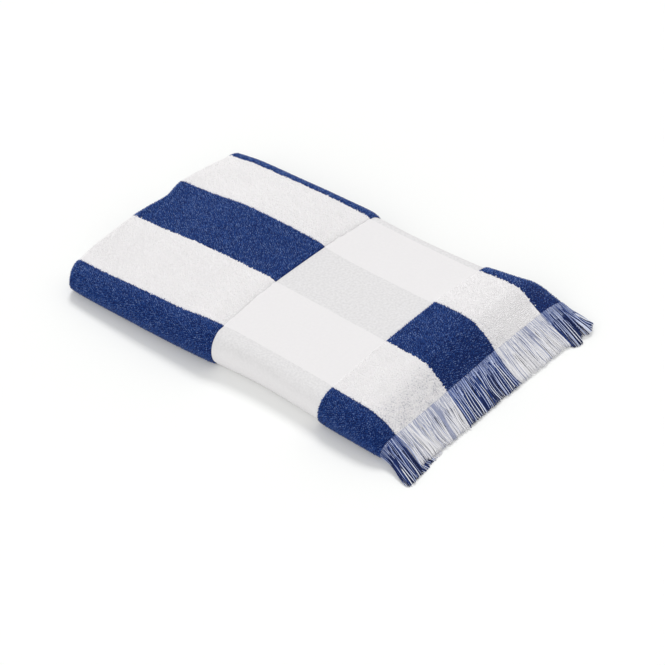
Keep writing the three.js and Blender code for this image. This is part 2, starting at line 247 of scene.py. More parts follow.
def fold_along(u):
    """Length and depth of the cloth's middle, and the direction of its outer side: outermost ply,
    half circle, innermost ply, and back and forth between them with two small half circles."""
    end = np.clip((u - U_FOLD) / END_RADIUS, 0, math.pi)
    right = np.clip((u - U_RIGHT) / INNER_RADIUS, 0, math.pi)
    left = np.clip((u - U_LEFT) / INNER_RADIUS, 0, math.pi)
    x = (CLOTH_REACH - np.clip(u, None, U_FOLD) - END_RADIUS * np.sin(end)
         + np.clip(u - U_INNERMOST, 0, INNER_RUN) + INNER_RADIUS * np.sin(right)
         - np.clip(u - U_THIRD, 0, INNER_RUN) - INNER_RADIUS * np.sin(left)
         + np.clip(u - U_SECOND, 0, None))
    depth = (CLOTH / 2 + END_RADIUS * (1 - np.cos(end)) - INNER_RADIUS * (1 - np.cos(right))
             - INNER_RADIUS * (1 - np.cos(left)))
    turn = [u < U_RIGHT, u < U_LEFT]
    side_x = np.select(turn, [-np.sin(end), np.sin(right)], np.sin(left))
    side_depth = np.select(turn, [-np.cos(end), np.cos(right)], -np.cos(left))
    return x, depth, side_x, side_depth


print("cloth", round(U_END), "mm long and", round(S_END), "mm round its outer face")

# %% The whole towel as one function
EDGE_TRIM_AT = (0.0, S_NEAR, S_TOP, S_FAR, S_MIDDLE, S_END)
EDGE_TRIM = (-16.0, -2.0, 0.0, 2.0, 9.0, -10.0)  # how far the fringed edge runs past its even place
END_TRIM = [  # across the cloth, then how far the folded end lies short of its even place
    (0, 3),
    (300, 7),
    (325, 10),
    (350, 4.5),
    (366, 0),
    (400, -2.5),
    (430, -1),
    (464, -0.7),
    (485, 0.3),
    (520, 4),
    (556, -3.5),
    (609, -2.5),
    (643, -0.2),
    (700, 1),
    (981, 3),
]
END_REACH = 60.0  # the trim of the folded end fades out over this length
NORMAL_STEP = 0.5


def smooth_step(low, high, value):
    """0 before low, 1 past high, and a cubic between them. low may be the greater."""
    t = np.clip((value - low) / (high - low), 0, 1)
    return t * t * (3 - 2 * t)


def edge_trim(s, x):
    """How far the fringed edge runs past its even place, and the folded end lies short of it."""
    fringed = through_points(EDGE_TRIM_AT, EDGE_TRIM, s) * smooth_step(PACK_LENGTH, CLOTH_REACH, x)
    end = np.array(END_TRIM, float)
    folded = through_points(end[:, 0], end[:, 1], s) * (1 - smooth_step(0, END_REACH, x))
    return fringed + folded


def stack_point(x, y, z):
    """A point of the even stack, moved to its place in the real one."""
    return np.stack([x, place_across(x, y), z * stack_height(x, y) / HEIGHT], axis=-1)


def towel_point(u, s, out):
    """Millimetres from the folded end, the centre line and the floor."""
    line_x, line_depth, side_x, side_depth = fold_along(u)
    x = line_x + out * side_x
    depth = line_depth + out * side_depth
    y, z, into_y, into_z = fold_across(s)
    x = x + edge_trim(s, x)
    return stack_point(x, y + into_y * depth, z + into_z * depth)


def towel_normal(u, s, out):
    """Direction straight out of the cloth: the cross product of its two tangents."""
    along = towel_point(u - NORMAL_STEP, s, out) - towel_point(u + NORMAL_STEP, s, out)
    across = towel_point(u, s + NORMAL_STEP, out) - towel_point(u, s - NORMAL_STEP, out)
    normal = np.cross(along, across)
    return normal / np.linalg.norm(normal, axis=-1, keepdims=True)


# %% [markdown]
# ## Where the weave changes
#
# The pattern is named in the cloth's own two lengths, so it stays true round every fold. Stripes are
# counted across the cloth. Along it come the heading, the end terry, the flat-woven band and the
# body's terry.

# %% Stripes and sections
BAND_LEFT, BAND_RIGHT = 236.0, 401.5  # the band's two ends, from the folded end
BAND_START = CLOTH_REACH - BAND_RIGHT  # the same two, along the cloth from the fringed edge
BAND_END = CLOTH_REACH - BAND_LEFT
PILE_GAP = 0.8  # bare cloth beside the band
HEADING = 2.6
STRIPE_EDGES = [77.0, 170.0, 262.0, 368.6, 464.4, 555.9, 643.4, 735.0, 828.0, 921.0]  # across it
DRIFT_FROM = STRIPE_EDGES[2] - 20.0  # between these two places across the cloth, stripe edges drift
DRIFT_TO = STRIPE_EDGES[7] - 20.0
WEFT_BOW = [  # across the cloth, then how far the band's two ends are bowed there, along the cloth
    (0, 0, 0),
    (270, 0, 0),
    (300, 4, -5),
    (322, 1.5, -4.5),
    (345, 1.5, -3.5),
    (368, 2.8, -1),
    (464, 0.7, 0),
    (556, -0.3, 0),
    (643, -1, -1),
    (660, -1, -4),
    (690, -1, -4),
    (720, 0, 0),
    (981, 0, 0),
]
STRIPE_DRIFT = [  # along the cloth, then how far the four stripe edges in sight drift there, across it
    (0, 1.5, -0.5, -0.5, 1.0),
    (85, 1.5, 0.0, 0.5, 0.5),
    (105, 3.5, 1.0, -1.0, 0.0),
    (235, 3.5, 1.0, -1.0, 0.0),
    (262, 1.0, 0.5, 0.5, 0.0),
    (330, -1.5, 0.7, 0.0, 0.0),
    (450, -1.2, 0.7, 0.0, 0.0),
    (520, 0.0, 0.0, 0.0, 0.0),
]


def stripe_place(s, u):
    """Place across the cloth, counted in warp yarns: s less the drift of the stripe edges at u."""
    rows = np.array(STRIPE_DRIFT, float)
    lines = np.array([through_points(rows[:, 0], rows[:, i], u) for i in (1, 2, 3, 4)])
    still = np.zeros_like(lines[:1])
    at = [DRIFT_FROM] + STRIPE_EDGES[3:7] + [DRIFT_TO]
    return s - through_points(at, np.concatenate([still, lines, still]), s)


def is_navy(s, u):
    """True where a stripe is navy: stripes take turns at each edge, and the first is white."""
    return np.searchsorted(STRIPE_EDGES, stripe_place(s, u)) % 2 == 1


def weft_place(s, u):
    """Place along the cloth, counted in weft yarns: u less the bow of the weft there, which grows from
    nil at the fringe to the bow of each end of the band, and fades out beyond it."""
    rows = np.array(WEFT_BOW, float)
    start_bow, end_bow = (through_points(rows[:, 0], rows[:, i], s) for i in (1, 2))
    to_start = np.clip(u / BAND_START, 0, 1)
    to_end = np.clip((u - BAND_START) / (BAND_END - BAND_START), 0, 1)
    above_painted_light = 1 - np.clip((u - BAND_END) / BAND_END, 0, 1)
    return u - (start_bow * to_start * (1 - to_end) + end_bow * to_end * above_painted_light)


# %% [markdown]
# ## Materials
#
# Six finishes: the ground cloth, whose pattern is drawn from the UV map in metres of cloth; the two
# colours of the pile; and navy, pale and white yarn. Cotton has no mirror gloss, so roughness is high
# and the specular level low, and a little sheen gives the lit rim of short fibres. Each tuft carries a
# number of its own, and each yarn one that changes along it, from deep to light. The material turns
# that number into a tone, so thousands of tufts share one material and still differ.

# %% Colours and a small node helper
NAVY = (0.020, 0.077, 0.315, 1.0)
NAVY_DEEP = (0.002, 0.012, 0.100, 1.0)
NAVY_LIGHT = (0.195, 0.290, 0.570, 1.0)
YARN_NAVY = (0.014, 0.040, 0.180, 1.0)
YARN_NAVY_DEEP = (0.005, 0.014, 0.080, 1.0)
YARN_NAVY_LIGHT = (0.060, 0.115, 0.340, 1.0)
WHITE = (0.938, 0.924, 0.929, 1.0)
WHITE_SHADE = (0.90, 0.885, 0.895, 1.0)
# deep tone of the white pile, reached only where painted shade darkens the bend to the fringe
PILE_PAINTED_SHADE = (0.60, 0.60, 0.645, 1.0)
BAND_WHITE = (0.815, 0.80, 0.805, 1.0)
BAND_GREY_DEEP = (0.69, 0.68, 0.685, 1.0)
BAND_GREY_PALE = (0.80, 0.79, 0.795, 1.0)
YARN_WHITE = (0.84, 0.835, 0.855, 1.0)
# deep tone of white yarn: painted shade at the roots and in the lower coat, and lilac yarns by chance
YARN_LILAC = (0.33, 0.36, 0.50, 1.0)
YARN_PALE = (0.54, 0.61, 0.84, 1.0)
# pale yarn, besides chance: its deep tone is painted shade at the roots, its light one painted highlight at
# the tips
YARN_PALE_DEEP = (0.20, 0.26, 0.50, 1.0)
YARN_PALE_LIGHT = (0.90, 0.93, 1.00, 1.0)
HEADING_BLUE = (0.17, 0.22, 0.40, 1.0)
COTTON_SPECULAR = 0.15
SHEEN_ROUGHNESS = 0.5
MIX_SHARE, MIX_A, MIX_B, MIX_RESULT = 0, 6, 7, 2  # places of a Mix node's colour sockets


class Nodes:
    """A material's nodes, with short calls for the few kinds that cloth needs."""

    def __init__(self, name):
        self.material = bpy.data.materials.new(name)
        self.material.use_nodes = True
        self.tree = self.material.node_tree
        self.shader = self.tree.nodes["Principled BSDF"]

    def add(self, kind, **settings):
        node = self.tree.nodes.new(kind)
        for key, value in settings.items():
            setattr(node, key, value)
        return node

    def put(self, value, socket):
        """Link an output to a socket, or give the socket a plain value."""
        if isinstance(value, bpy.types.NodeSocket):
            self.tree.links.new(value, socket)
        else:
            socket.default_value = value

    def math(self, operation, a, b=0.0, c=0.0):
        node = self.add("ShaderNodeMath", operation=operation)
        for socket, value in zip(node.inputs, (a, b, c)):
            self.put(value, socket)
        return node.outputs[0]

    def mix(self, share, a, b):
        node = self.add("ShaderNodeMix", data_type="RGBA")
        self.put(share, node.inputs[MIX_SHARE])
        self.put(a, node.inputs[MIX_A])
        self.put(b, node.inputs[MIX_B])
        return node.outputs[MIX_RESULT]

    def step(self, value, edge, width):
        """0 below an edge and 1 above it, with a soft passage of a width."""
        node = self.add("ShaderNodeMapRange", interpolation_type="SMOOTHSTEP")
        self.put(value, node.inputs["Value"])
        node.inputs["From Min"].default_value = edge - width / 2
        node.inputs["From Max"].default_value = edge + width / 2
        return node.outputs["Result"]

    def noise(self, vector, scale, detail=2.0):
        node = self.add("ShaderNodeTexNoise")
        self.put(vector, node.inputs["Vector"])
        node.inputs["Scale"].default_value = scale
        node.inputs["Detail"].default_value = detail
        return node.outputs["Fac"]

    def bump(self, height, strength, distance):
        node = self.add("ShaderNodeBump")
        self.put(height, node.inputs["Height"])
        node.inputs["Strength"].default_value = strength
        node.inputs["Distance"].default_value = distance
        self.tree.links.new(node.outputs[0], self.shader.inputs["Normal"])

    def cotton(self, colour, roughness=0.95, sheen=0.15):
        self.put(colour, self.shader.inputs["Base Color"])
        self.shader.inputs["Roughness"].default_value = roughness
        self.shader.inputs["Specular IOR Level"].default_value = COTTON_SPECULAR
        self.shader.inputs["Sheen Weight"].default_value = sheen
        self.shader.inputs["Sheen Roughness"].default_value = SHEEN_ROUGHNESS


# %% [markdown]
# The ground cloth: a mask counts the stripe edges to the left of a point, and another says whether the
# point lies in the flat-woven band. Noise of a millimetre's size moves the stripe edges a little, as
# the yarns do. On the band the navy warp runs behind the white face and only greys it. That grey is
# cloudy, and low on the near side, where the cloth turns under, painted light lifts most of it to
# white. The bump is a plain weave, the product of two sines, one for each yarn direction.

# %% Ground cloth
WEAVE_PITCH = 0.0011  # metres, as every length in a material is
WEAVE_STRENGTH = 0.35
WEAVE_DEPTH = 0.00025
EDGE_RAGGED = 0.0008
EDGE_SOFT = 0.0006
EDGE_GRAIN = 700.0  # the grains are noise scales, in waves a metre
CLOUD_GRAIN = 330.0
CLOUD_STEP = (0.5, 0.6)
PAINTED_LIGHT_GRAIN = 45.0
MOTTLE_GRAIN = 260.0
MOTTLE = 0.05
PAINTED_LIGHT_LINE = 338.0  # across the cloth, where painted light has half lifted the band's grey on its way round the near side
PAINTED_LIGHT_WIDTH = 26.0
PAINTED_LIGHT_RAGGED = 24.0
GREY_LEFT_IN_PAINTED_LIGHT = 0.25  # share of the grey that the painted light leaves under that line


def ground_material():
    """Terry ground, band and heading, each masked by its place on the cloth."""
    n = Nodes("ground_weave")
    uv = n.add("ShaderNodeUVMap", uv_map="cloth_metres").outputs[0]
    split = n.add("ShaderNodeSeparateXYZ")
    n.put(uv, split.inputs[0])
    across, along = split.outputs[0], split.outputs[1]
    wobble = n.math("MULTIPLY_ADD", n.noise(uv, EDGE_GRAIN), EDGE_RAGGED, -EDGE_RAGGED / 2)
    ragged = n.math("ADD", across, wobble)
    navy = 0.0
    sign = 1.0
    for edge in STRIPE_EDGES:
        navy = n.math("MULTIPLY_ADD", n.step(ragged, edge * MM, EDGE_SOFT), sign, navy)
        sign = -sign
    past_start = n.step(along, (BAND_START - PILE_GAP) * MM, EDGE_SOFT)
    band = n.math("SUBTRACT", past_start, n.step(along, BAND_END * MM, EDGE_SOFT))
    heading = n.math("SUBTRACT", 1.0, n.step(along, HEADING * MM, EDGE_SOFT))
    terry_tone = n.mix(navy, WHITE_SHADE, NAVY_DEEP)
    clouds = n.step(n.noise(uv, CLOUD_GRAIN), *CLOUD_STEP)
    cloudy = n.mix(clouds, BAND_GREY_DEEP, BAND_GREY_PALE)
    painted_light_noise = n.noise(uv, PAINTED_LIGHT_GRAIN, detail=3.0)
    uneven = n.math("MULTIPLY_ADD", painted_light_noise, PAINTED_LIGHT_RAGGED * MM, -PAINTED_LIGHT_RAGGED * MM / 2)
    # painted light: low on the near side the band's grey is mostly lifted to white
    above_painted_light = n.step(n.math("ADD", across, uneven), PAINTED_LIGHT_LINE * MM, PAINTED_LIGHT_WIDTH * MM)
    kept = n.math("MULTIPLY", navy, n.math("MULTIPLY_ADD", above_painted_light, 1 - GREY_LEFT_IN_PAINTED_LIGHT, GREY_LEFT_IN_PAINTED_LIGHT))
    band_tone = n.mix(kept, BAND_WHITE, cloudy)
    heading_tone = n.mix(navy, WHITE, HEADING_BLUE)
    mottled = n.math("MULTIPLY_ADD", n.noise(uv, MOTTLE_GRAIN, detail=4.0), MOTTLE, 1 - MOTTLE / 2)
    tone = n.mix(heading, n.mix(band, terry_tone, band_tone), heading_tone)
    shaded = n.add("ShaderNodeVectorMath", operation="SCALE")
    n.put(tone, shaded.inputs[0])
    n.put(mottled, shaded.inputs["Scale"])
    n.cotton(shaded.outputs[0])
    turn = 2 * math.pi / WEAVE_PITCH
    warp = n.math("SINE", n.math("MULTIPLY", across, turn))
    weft = n.math("SINE", n.math("MULTIPLY", along, turn))
    n.bump(n.math("MULTIPLY", warp, weft), WEAVE_STRENGTH, WEAVE_DEPTH)
    return n.material


# %% Pile and yarn
DEEP_STEP = (0.25, 0.5)  # middle and width of the passage from the deep tone to the plain one
LIGHT_STEP = (0.8, 0.4)  # and from the plain tone to the light one
FUZZ_GRAIN = 2500.0
FUZZ_STRENGTH = 0.25
FUZZ_DEPTH = 0.0003


def tuft_material(name, deep, plain, light, roughness, sheen):
    """Pile or yarn: the tone runs from deep to light by the piece's own number."""
    n = Nodes(name)
    own = n.add("ShaderNodeAttribute", attribute_name="own_tone").outputs["Fac"]
    low = n.mix(n.step(own, *DEEP_STEP), deep, plain)
    n.cotton(n.mix(n.step(own, *LIGHT_STEP), low, light), roughness, sheen)
    place = n.add("ShaderNodeTexCoord").outputs["Object"]
    n.bump(n.noise(place, FUZZ_GRAIN, detail=1.0), FUZZ_STRENGTH, FUZZ_DEPTH)
    return n.material


GROUND = ground_material()
PILE_NAVY = tuft_material("pile_navy", NAVY_DEEP, NAVY, NAVY_LIGHT, roughness=0.9, sheen=0.12)
PILE_WHITE = tuft_material("pile_white", PILE_PAINTED_SHADE, WHITE, WHITE, roughness=0.95, sheen=0.1)
print("materials", [m.name for m in bpy.data.materials])

# %% [markdown]
# ## The cloth as one folded sheet
#
# The sheet could be a plane folded by modifiers, but twelve plies would soon cut through each other.
# Here every point comes from the two fold formulas, so the plies lie as they should. The mesh is a row
# of rings: a ring is the cloth's outline along the towel, both faces, and the rings follow each other
# across it. Only the outermost ply shows, so its steps are short and the hidden plies' are long.

# %% Steps along and across
VISIBLE_STEP = 4.0
HIDDEN_STEP = 22.0
ACROSS_STEP = 5.0
HIDDEN_ACROSS_STEP = 10.0
FOLD_STEP = 3.0  # across the cloth, round the two folds in three
ARC_STEP = 2.2  # along it, round the folds end to end
HEADING_BESIDE = 0.8  # extra points on both sides of the heading's edge
BAND_BESIDE = (-3.0, -1.0, 0.0, 1.0, 3.0)  # and about each end of the band
GROUND_DROP = 0.8  # the ground of the terry lies this deep under the solid's face
GROOVE = 0.7  # where the pile starts, the weft is beaten down
GROOVE_WIDTH = 1.6


def steps_between(bounds, steps):
    """Places from the first bound to the last, in even steps whose size is each stretch's own."""
    places = [bounds[-1:]]
    for start, end, step in zip(bounds, bounds[1:], steps):
        places.append(np.linspace(start, end, max(2, round((end - start) / step)), endpoint=False))
    return np.sort(np.concatenate(places))


def length_steps():
    """Places along the cloth: runs and half circles by turns, and extra ones where the weave changes."""
    bounds = [0.0, U_FOLD, U_INNERMOST, U_RIGHT, U_THIRD, U_LEFT, U_SECOND, U_END]
    places = steps_between(bounds, [VISIBLE_STEP] + 3 * [ARC_STEP, HIDDEN_STEP])
    extra = [HEADING - HEADING_BESIDE, HEADING + HEADING_BESIDE]
    extra += [edge + beside for edge in (BAND_START, BAND_END) for beside in BAND_BESIDE]
    return np.unique(np.concatenate([places, extra]))


def width_steps():
    """Places across the cloth: bottom run, half circle, top run, half circle, middle run."""
    steps = [HIDDEN_ACROSS_STEP, FOLD_STEP, ACROSS_STEP, FOLD_STEP, HIDDEN_ACROSS_STEP]
    return steps_between([0.0, S_NEAR, S_TOP, S_FAR, S_MIDDLE, S_END], steps)


def outer_offset(weft):
    """How far the outer face stands from the cloth's middle: the ground, less the two grooves."""
    groove = sum(np.exp(-(((weft - edge) / GROOVE_WIDTH) ** 2)) for edge in (BAND_START, BAND_END))
    return CLOTH / 2 - GROUND_DROP - GROOVE * groove


# %% Mesh helpers
def ring_quads(rings, around):
    """Four-cornered faces of a skin over a row of closed rings, each with the same count of points."""
    ring, place = np.meshgrid(np.arange(rings - 1) * around, np.arange(around), indexing="ij")
    ring, place = ring.ravel(), place.ravel()
    after = (place + 1) % around
    return np.stack([ring + place, ring + around + place, ring + around + after, ring + after], axis=-1)


def mesh_object(name, points, faces, material):
    """A mesh object from arrays: points in scene metres, faces all with the same count of corners."""
    mesh = bpy.data.meshes.new(name)
    count, corners = faces.shape
    mesh.vertices.add(len(points))
    mesh.vertices.foreach_set("co", np.asarray(points, np.float32).ravel())
    mesh.loops.add(count * corners)
    mesh.loops.foreach_set("vertex_index", faces.astype(np.int32).ravel())
    mesh.polygons.add(count)
    mesh.polygons.foreach_set("loop_start", np.arange(count, dtype=np.int32) * corners)
    mesh.polygons.foreach_set("use_smooth", np.full(count, True))
    mesh.update(calc_edges=True)
    mesh.validate()
    mesh.materials.append(material)
    thing = bpy.data.objects.new(name, mesh)
    bpy.context.scene.collection.objects.link(thing)
    return thing


# %% Cloth mesh
def cloth_mesh():
    """Rings out along the cloth's outer face and back along its inner one, closed by the two hems. The
    UV map holds each point's place on the flat cloth, in metres."""
    u = length_steps()
    s = width_steps()
    ring_u = np.concatenate([u, u[::-1]])
    half = len(u)
    grid_s, grid_u = (grid.ravel() for grid in np.meshgrid(s, ring_u, indexing="ij"))
    weft = weft_place(grid_s, grid_u)
    is_outer = np.tile(np.arange(2 * half) < half, len(s))
    grid_out = np.where(is_outer, outer_offset(weft), -CLOTH / 2)
    points = towel_point(grid_u, grid_s, grid_out)
    around = len(ring_u)
    sides = ring_quads(len(s), around)
    k = np.arange(half - 1)
    hem = np.stack([k, k + 1, around - 2 - k, around - 1 - k], axis=-1)
    far_hem = hem[:, ::-1] + (len(s) - 1) * around
    faces = np.concatenate([sides, hem, far_hem])
    cloth = mesh_object("towel_cloth", to_scene(points), faces, GROUND)
    layer = cloth.data.uv_layers.new(name="cloth_metres")
    flat = np.stack([stripe_place(grid_s, grid_u), weft], axis=-1) * MM
    layer.data.foreach_set("uv", flat[faces.ravel()].astype(np.float32).ravel())
    return cloth


cloth = cloth_mesh()
print("cloth", len(cloth.data.polygons), "faces")

# %% [markdown]
# ## The pile
#
# Terry is a field of yarn loops a millimetre or two apart. Hair particles would be the quick way, but
# they don't travel with an exported mesh. So each tuft is a small three-sided shell, turned and leant
# by chance, whose open foot stands in the cloth. White tufts are rounded buds of nine triangles, with a
# foot, a shoulder and a tip, because pale cloth shows its form by shading. Navy ones are plain cones of
# three triangles, packed closer, because dark pile reads as a grain of tones. One array operation
# places the tufts of a stripe. They stand where they show: on the outermost ply, and on the folded end
# of the layers beneath.

# %% Where tufts stand
Tuft = namedtuple("Tuft", "pitch height half_width lean shoulder ridge_pitch")
TUFTS = {  # the shoulder is a share of the height
    "navy": Tuft(1.22, 1.8, 0.90, 0.55, None, 2.6),
    "white": Tuft(1.48, 1.4, 1.20, 0.40, 0.62, 3.0),
}
PILE_WRAP = 8.0
PILE_FROM_S = S_NEAR - PILE_WRAP
PILE_TO_S = S_MIDDLE + PILE_WRAP
PILE_INSET = 1.0  # bare hem at the sheet's two long edges
TURN_PILE = 6.0  # on the layers beneath, the pile starts this far before the folded end
BOW_MARGIN = 8.0  # more than the weft is bowed anywhere
EDGE_LEAN = 0.5  # how far a tuft may stand over a stripe's edge
JITTER = 0.32  # of the pitch
ROW_TURN, COLUMN_TURN = 0.7549, 0.5698  # steps that never fall into a rhythm with each other
TURN_CHANCE = 0.3
RIDGE_WAVES = 16
RIDGE_SPREAD = (0.85, 1.2)


def tuft_places(u_from, u_to, s_from, s_to, pitch, random):
    """A jittered grid over a stretch of the cloth's outer face, every second row moved by half, and a
    number for each place that always differs much from its neighbours' numbers."""
    rows = np.arange(u_from + pitch / 2, u_to, pitch)
    columns = np.arange(s_from, s_to, pitch)
    u, s = np.meshgrid(rows, columns, indexing="ij")
    s = s + (np.arange(len(rows)) % 2)[:, None] * pitch / 2
    jitter = random.uniform(-JITTER, JITTER, (2,) + u.shape) * pitch
    row, column = np.indices(u.shape)
    uneven = (ROW_TURN * row + COLUMN_TURN * column + random.uniform(0, TURN_CHANCE, u.shape)) % 1
    return (u + jitter[0]).ravel(), (s + jitter[1]).ravel(), uneven.ravel()


def ridges(u, s, pitch, random):
    """Winding ridges, as loops crowd together: a sum of waves of nearly one length in random
    directions. Half of the values lie between -0.7 and 0.7."""
    total = np.zeros_like(u)
    for _ in range(RIDGE_WAVES):
        angle = random.uniform(0, math.pi)
        phase = random.uniform(0, 2 * math.pi)
        turn = 2 * math.pi / (pitch * random.uniform(*RIDGE_SPREAD))
        total += np.sin(turn * (u * math.cos(angle) + s * math.sin(angle)) + phase)
    return total / math.sqrt(RIDGE_WAVES / 2)


# %% Tones of the pile
NAVY_DEEPEST = -0.03  # tones run from 0, deep, to 1, light
NAVY_SPECKLE = 0.93
NAVY_RIDGES = 0.06
NEAR_FOLD_SHADE = (345.0, 300.0)  # across the cloth, where the painted shade on the near fold starts and where it is full
# how far painted shade darkens the navy pile on the near fold
NEAR_FOLD_SHADE_DEPTH = 0.10
WHITE_ON_FLAT = 0.61
WHITE_SPECKLE = 0.10
BEND = (54.0, 22.0)  # along the cloth, where it starts to bend down and where it is steep
BEND_FAR = (500.0, 620.0)  # across the cloth, where the bend's painted shade starts to weaken and where it has
BEND_FAR_LOSS = 0.6
# how far painted shade darkens the white pile where it bends down
BEND_SHADE = 0.24
BEND_SHADE_RIDGES = 0.10
BEND_SPECKLE = 0.30
SHADE_PATCHES = 0.16
PATCH_FROM = (24.0, 4.0)  # along the cloth, where patches of painted shade start and where they are full
PATCH_PITCH = 16.0
PATCH_MOST = 1.5


def tuft_tones(colour, u, s, uneven, ridge, random):
    """A number for each tuft, from deep to light. Navy pile is speckled, with painted shade on the near
    fold.
    White pile is even on the flat. Where it bends down to the fringe it is darkened towards lilac grey
    as painted shade, more along the ridges and in patches."""
    if colour == "navy":
        # painted shade: navy tufts on the near fold are darker
        fold = smooth_step(*NEAR_FOLD_SHADE, s)
        tone = NAVY_DEEPEST + NAVY_SPECKLE * uneven + NAVY_RIDGES * ridge - NEAR_FOLD_SHADE_DEPTH * fold
        return np.clip(tone, 0, 1)
    # painted shade: white pile darkens where it bends down to the fringe
    bend = smooth_step(*BEND, u) * (1 - BEND_FAR_LOSS * smooth_step(*BEND_FAR, s))
    patch = smooth_step(*PATCH_FROM, u) * np.clip(ridges(u, s, PATCH_PITCH, random), 0, PATCH_MOST)
    bend_shade = BEND_SHADE + BEND_SHADE_RIDGES * ridge + SHADE_PATCHES * patch - BEND_SPECKLE * (uneven - 0.5)
    return np.clip(WHITE_ON_FLAT + WHITE_SPECKLE * uneven - bend * bend_shade, 0, 1)


# %% Tuft meshes
SIDE_HINT = (0.31, 0.21, 0.93)  # any direction will do that is never straight out of the cloth
FOOT_LEVEL = -0.25  # of the height: the foot stands in the cloth
SHOULDER_WIDTH = 0.85  # of the foot's
RIDGE_HEIGHT = 0.06  # tufts on a ridge are taller by this share
TUFT_TALL = (0.78, 1.12)
TUFT_WIDE = (0.8, 1.15)
CONE = [(0, 1, 3), (1, 2, 3), (2, 0, 3)]
BUD = [(0, 1, 4), (0, 4, 3), (1, 2, 5), (1, 5, 4), (2, 0, 3), (2, 3, 5), (3, 4, 6), (4, 5, 6), (5, 3, 6)]


def set_own_tone(thing, tone):
    """Store one number for each point of a mesh, for its material to read."""
    own = thing.data.attributes.new("own_tone", "FLOAT", "POINT")
    own.data.foreach_set("value", tone.astype(np.float32))


def tuft_mesh(name, u, s, size, ridge, tone, material, random):
    """Buds: rings of three points along a leaning stem, and a tip. Without a shoulder it is a cone."""
    count = len(u)
    ground = outer_offset(weft_place(s, u))
    foot = towel_point(u, s, ground)
    normal = towel_normal(u, s, ground)
    side = np.cross(normal, np.broadcast_to(SIDE_HINT, normal.shape))
    side /= np.linalg.norm(side, axis=-1, keepdims=True)
    other = np.cross(normal, side)
    lean = random.normal(0, size.lean, (2, count))
    height = (size.height * (1 + RIDGE_HEIGHT * ridge) * random.uniform(*TUFT_TALL, count))[:, None]
    width = size.half_width * random.uniform(*TUFT_WIDE, count)[:, None]
    sway = lean[0][:, None] * side + lean[1][:, None] * other
    turn = random.uniform(0, 2 * math.pi, count)
    rings = []
    levels = [(FOOT_LEVEL, 1.0)]
    if size.shoulder:
        levels.append((size.shoulder, SHOULDER_WIDTH))
    for level, share in levels:
        centre = foot + normal * height * level + sway * max(level, 0)
        for corner in range(3):
            angle = (turn + corner * 2 * math.pi / 3)[:, None]
            rings.append(centre + width * share * (np.cos(angle) * side + np.sin(angle) * other))
    rings.append(foot + normal * height + sway)
    points = np.stack(rings, axis=1)
    points[:, :, 2] = np.maximum(points[:, :, 2], 0.0)  # under the towel the pile is pressed flat
    pattern = BUD if size.shoulder else CONE
    each = len(rings)
    faces = (np.arange(count)[:, None, None] * each + np.array(pattern)).reshape(-1, 3)
    tufts = mesh_object(name, to_scene(points.reshape(-1, 3)), faces, material)
    set_own_tone(tufts, np.repeat(tone, each))
    return tufts


# %% Make the pile
PILE_SEED = 7
PILE_PARTS = {  # from and to along the cloth, from and to across it
    "end": (HEADING, BAND_START - PILE_GAP, PILE_FROM_S, PILE_TO_S),
    "body": (BAND_END + PILE_GAP, U_INNERMOST, PILE_FROM_S, PILE_TO_S),
    "bottom_turn": (U_FOLD - TURN_PILE, U_INNERMOST, PILE_INSET, PILE_FROM_S),
    "middle_turn": (U_FOLD - TURN_PILE, U_INNERMOST, PILE_TO_S, S_END - PILE_INSET),
}


def pile_stripes(part, parity, colour, material, random):
    """The tufts of one colour on one part of the cloth, as one piece for each stripe."""
    weft_from, weft_to, s_from, s_to = PILE_PARTS[part]
    size = TUFTS[colour]
    low, high = weft_from - BOW_MARGIN, weft_to + BOW_MARGIN
    u, s, uneven = tuft_places(low, high, s_from, s_to, size.pitch, random)
    weft = weft_place(s, u)
    leant = stripe_place(s, u) + random.normal(0, EDGE_LEAN, len(s))
    stripe = np.searchsorted(STRIPE_EDGES, leant)
    inside = (weft > weft_from) & (weft < weft_to) & (stripe % 2 == parity)
    u, s, uneven, stripe = u[inside], s[inside], uneven[inside], stripe[inside]
    ridge = ridges(u, s, size.ridge_pitch, random)
    tone = tuft_tones(colour, u, s, uneven, ridge, random)
    pieces = []
    for number in np.unique(stripe):
        name = f"pile_{part}_{number}_{colour}"
        mine = stripe == number
        pieces.append(tuft_mesh(name, u[mine], s[mine], size, ridge[mine], tone[mine], material, random))
    return pieces


def make_pile():
    """Both terry sections of the outermost ply, and the folded end of the layers beneath."""
    random = np.random.default_rng(PILE_SEED)
    pieces = []
    for part in PILE_PARTS:
        pieces += pile_stripes(part, 0, "white", PILE_WHITE, random)
        pieces += pile_stripes(part, 1, "navy", PILE_NAVY, random)
    return pieces


pile = make_pile()
print("tuft faces", {p.name: len(p.data.polygons) for p in pile})

# %% [markdown]
# ## The fringe
#
# The fringe is the cloth's warp, left unwoven. On a navy stripe the ground warp is white and the pile
# warp navy, so navy and pale yarns take turns; on a white stripe all are white. Each yarn is a thin
# tube along a cubic curve: it leaves the edge in the direction of the cloth, sinks, and ends on the
# floor or a little above it. The yarns come in coats. A dense coat of short, fine ends makes the misty
# zone at the roots, the upper coat has the yarns that stand out, a lower one, nearly all navy on those
# stripes, fills the gaps between them, and the last belongs to the layers beneath. Yarns lean together
# in locks, each with a bow of its own, so that neighbours never look combed.

# %% Fringe sizes
YARN_SIDES = 5
YARN_STEPS = 13
YARN_ROOT = 2.4  # yarns leave the cloth this far inside its edge
YARN_OUT = 0.9  # and this far out of the cloth's middle
UPPER_FROM, UPPER_TO = 245.0, 705.0  # across the cloth, where the outermost layer's edge shows
EDGE_POINTS = 4000

